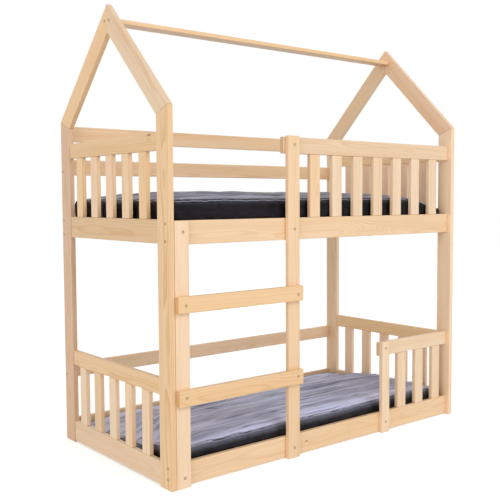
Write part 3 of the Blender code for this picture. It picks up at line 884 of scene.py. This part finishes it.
def piping_cloth():
    """The covered cord in the seam: the same cloth, painted a little lighter as a highlight where it stands
    proud.
    """
    material, tree, shader = material_tree("piping_cloth")
    weave = noise(tree, bed_place(tree), PIPING_WEAVE, 1.0)[0]
    colour = blend_colours(tree, weave, *PIPING_HIGHLIGHT_THREADS)
    sheen = {"Sheen Weight": 0.3, "Sheen Tint": SHEEN_TINT}
    feed(tree, shader, {"Base Color": colour, "Roughness": 0.55, **sheen})
    return material


def soft_piece(name, points, quads, bunk):
    """A smooth-shaded piece of cloth on a bunk's mattress."""
    mesh = mesh_of(name, points, quads)
    mesh.polygons.foreach_set("use_smooth", np.ones(len(quads), bool))
    piece = new_piece(name, mesh)
    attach(piece, f"{bunk}_mattress_body")
    return piece


def make_cover(bunk, piping_fabric):
    """The covered mattress of a bunk: foam, settled cloth, gathers and piping, in its place in the bed."""
    lie = COVERS[bunk]
    low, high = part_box(f"{bunk}_mattress")
    place = np.array([0.0, (low.y + high.y) / 2, low.z])
    points, quads, places = foam_block(lie)
    settled = settled_cover(bunk, points, quads)
    points = points + pulled_lengthwise(settled - points, places)
    points, quads = subdivided(bunk, points, quads)
    points = np.clip(seam_puckers(points, lie["seed"]), *COVER_LIMITS)
    cover = soft_piece(f"{bunk}_mattress_cover", points + place, quads, bunk)
    measures = {"under_seam": edge_height(points, points) - points[:, 2], "from_rim": from_rim(points)}
    for measure, values in measures.items():
        cover.data.attributes.new(measure, "FLOAT", "POINT").data.foreach_set("value", values)
    set_material(cover, cover_fabric(bunk, tuple(place)))
    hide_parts(f"{bunk}_mattress")
    tube, tube_quads = tube_round(seam_path(points, lie["plan_round"], lie["seam_inset"]) + place)
    piping = soft_piece(f"{bunk}_cover_piping", tube, tube_quads, bunk)
    set_material(piping, piping_fabric)


piping_fabric = piping_cloth()
for bunk in COVERS:
    make_cover(bunk, piping_fabric)

# Screws and bolts: the profile of a head as shares of its radius and rise, and where the heads sit.
HEAD_RADIUS, HEAD_RISE, HEAD_SIDES = 0.0062, 0.0012, 12
HEAD_PROFILE = np.array([(1.0, -0.3), (1.0, 0.35), (0.86, 0.85), (0.60, 1.0), (0.46, 1.0), (0.46, -0.2)])
SOCKET_FLAT = 0.866
STEEL, DULL_SHARE, MOTTLE_SCALE = (0.52, 0.38, 0.23), 0.6, 900.0
STILE_FACE = -0.42385
RUNG_FACE = -0.44615
LEFT_FACE = -0.835
FRONT_SCREWS = {
    "left_stile_rail_screw": (-0.774, STILE_FACE, 0.962),
    "high_rung_left_screw": (-0.778, RUNG_FACE, 0.692),
    "low_rung_left_screw": (-0.778, RUNG_FACE, 0.349),
    "left_stile_foot_screw": (-0.775, STILE_FACE, 0.040),
    "right_stile_guard_screw": (-0.222, STILE_FACE, 1.302),
    "right_stile_rail_screw": (-0.2215, STILE_FACE, 0.958),
    "high_rung_right_screw": (-0.222, RUNG_FACE, 0.690),
    "low_rung_right_screw": (-0.223, RUNG_FACE, 0.350),
    "right_stile_foot_screw": (-0.224, STILE_FACE, 0.0445),
    "lower_guard_stile_screw": (0.342, STILE_FACE, 0.393),
    "lower_guard_foot_screw": (0.343, STILE_FACE, 0.050),
}
END_BOLTS = {
    "front_upper_rail_high_bolt": (-0.399, 0.993),
    "front_upper_rail_low_bolt": (-0.399, 0.928),
    "front_lower_rail_high_bolt": (-0.399, 0.083),
    "front_lower_rail_low_bolt": (-0.399, 0.040),
    "back_guard_bolt": (0.430, 1.207),
    "back_upper_rail_high_bolt": (0.430, 0.992),
    "back_upper_rail_low_bolt": (0.430, 0.929),
    "back_lower_guard_bolt": (0.430, 0.298),
    "batten_back_screw": (0.030, 1.795),
    "batten_front_screw": (-0.008, 1.792),
}


def turned_head(centre, outward):
    """A head as a surface of revolution about outward: rim, dome, flat and a six-sided socket in the middle.

    The two parameters are the step along the profile and the angle round the axis.
    """
    turns = np.arange(HEAD_SIDES) * 2 * math.pi / HEAD_SIDES
    reach = np.repeat(HEAD_PROFILE[:, :1] * HEAD_RADIUS, HEAD_SIDES, axis=1)
    reach[-2:] *= np.where(np.arange(HEAD_SIDES) % 2 == 0, 1.0, SOCKET_FLAT)
    height = np.repeat(HEAD_PROFILE[:, 1:] * HEAD_RISE, HEAD_SIDES, axis=1)
    outward = np.array(outward, float)
    side = np.array((0.0, 0.0, 1.0))
    other = np.cross(outward, side)
    points = (
        np.array(centre)
        + (reach * np.cos(turns))[..., None] * side
        + (reach * np.sin(turns))[..., None] * other
        + height[..., None] * outward
    ).reshape(-1, 3)
    return points, ring_quads(len(HEAD_PROFILE), HEAD_SIDES, closed=False)


def make_head(name, centre, outward, material):
    """One screw or bolt head as a piece that goes with the frame; its last ring is the socket's floor."""
    points, quads = turned_head(centre, outward)
    socket_floor = list(range(len(points) - HEAD_SIDES, len(points)))
    head = new_piece(name, mesh_of(name, points, quads, [socket_floor]))
    set_material(head, material)
    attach(head, "frame")


def steel(name, colour, roughness):
    """Yellow zinc-plated steel, a little uneven."""
    material, tree, shader = material_tree(name)
    mottle = noise(tree, bed_place(tree), MOTTLE_SCALE, 1.0)[0]
    dull = [channel * DULL_SHARE for channel in colour] + [1.0]
    colour = blend_colours(tree, mottle, dull, [*colour, 1.0])
    feed(tree, shader, {"Base Color": colour, "Metallic": 1.0, "Roughness": roughness})
    return material


head_steel = steel("screw_steel", STEEL, 0.42)
for name, place in FRONT_SCREWS.items():
    make_head(name, place, (0, -1, 0), head_steel)
for name, (across, height) in END_BOLTS.items():
    make_head(f"left_{name}", (LEFT_FACE, across, height), (-1, 0, 0), head_steel)
    make_head(f"right_{name}", (-LEFT_FACE, across, height), (1, 0, 0), head_steel)

# Floor, world, light and camera.
FLOOR_REACH = 12.0
FLOOR_LIFT = 0.50
WORLD_SEEN_MORE, WORLD_LIGHT = 0.34, 0.66
SOFTBOX_SIZE = 6.0
CAMERA_PLACE = (-2.39027, -2.82344, 1.08026)
CAMERA_PAN, CAMERA_TILT, CAMERA_ROLL = -0.67777, 0.06422, -0.00515
CAMERA_LENS = 56.634


def seen_directly(tree):
    """1 where the camera looks, also by way of gloss or glass, and 0 for light that is only passed on."""
    path = add_node(tree, "ShaderNodeLightPath").outputs
    seen = calc(tree, "MAXIMUM", path["Is Camera Ray"], path["Is Glossy Ray"])
    return calc(tree, "MAXIMUM", seen, path["Is Transmission Ray"])


def make_floor():
    """A pale floor that reads white to the camera and keeps the bed's shadow."""
    corners = np.array([(-1, -1, 0), (1, -1, 0), (1, 1, 0), (-1, 1, 0)]) * FLOOR_REACH
    floor = new_piece("studio_floor", mesh_of("studio_floor", corners, np.array([(0, 1, 2, 3)])))
    material, tree, shader = material_tree("pale_floor")
    tree.nodes.remove(shader)
    diffuse = add_node(tree, "ShaderNodeBsdfDiffuse", {"Color": (0.80, 0.80, 0.80, 1)})
    strength = calc(tree, "MULTIPLY", seen_directly(tree), FLOOR_LIFT)
    lift = add_node(tree, "ShaderNodeEmission", {"Color": (1, 1, 1, 1), "Strength": strength})
    both = add_node(tree, "ShaderNodeAddShader", {0: diffuse.outputs[0], 1: lift.outputs[0]})
    feed(tree, tree.nodes["Material Output"], {"Surface": both.outputs[0]})
    set_material(floor, material)


def make_world():
    """Even studio light, and white where the camera, gloss or glass looks past the bed."""
    world = bpy.data.worlds.new("studio")
    scene.world = world
    world.use_nodes = True
    tree = world.node_tree
    strength = calc(tree, "MULTIPLY_ADD", seen_directly(tree), WORLD_SEEN_MORE, WORLD_LIGHT)
    feed(tree, tree.nodes["Background"], {"Color": (1, 1, 1, 1), "Strength": strength})


def softbox(name, place, aim, power):
    """A square area lamp at a place, turned to look at a point."""
    lamp = bpy.data.lights.new(name, "AREA")
    lamp.shape = "SQUARE"
    lamp.size = SOFTBOX_SIZE
    lamp.energy = power
    holder = new_piece(name, lamp)
    holder.location = place
    holder.rotation_euler = (Vector(aim) - Vector(place)).to_track_quat("-Z", "Y").to_euler()


def make_camera():
    """The photograph's viewpoint, fitted to the edges of the bed."""
    lens = bpy.data.cameras.new("photo_camera")
    lens.sensor_fit = "HORIZONTAL"
    lens.sensor_width = 36.0
    lens.lens = CAMERA_LENS
    lens.clip_start = 0.05
    lens.clip_end = 60.0
    camera = new_piece("photo_camera", lens)
    turn = Matrix.Rotation(CAMERA_PAN, 4, "Z") @ Matrix.Rotation(math.pi / 2 - CAMERA_TILT, 4, "X")
    roll = Matrix.Rotation(CAMERA_ROLL, 4, "Z")
    camera.matrix_world = Matrix.Translation(CAMERA_PLACE) @ turn @ roll
    scene.camera = camera


make_floor()
make_world()
softbox("front_softbox", (2.4, -9.5, 6.0), (0, 0, 0.8), 340)
softbox("left_softbox", (-8.8, -4.2, 2.4), (0, 0, 0.7), 288)
make_camera()
scene.view_settings.view_transform = "Standard"
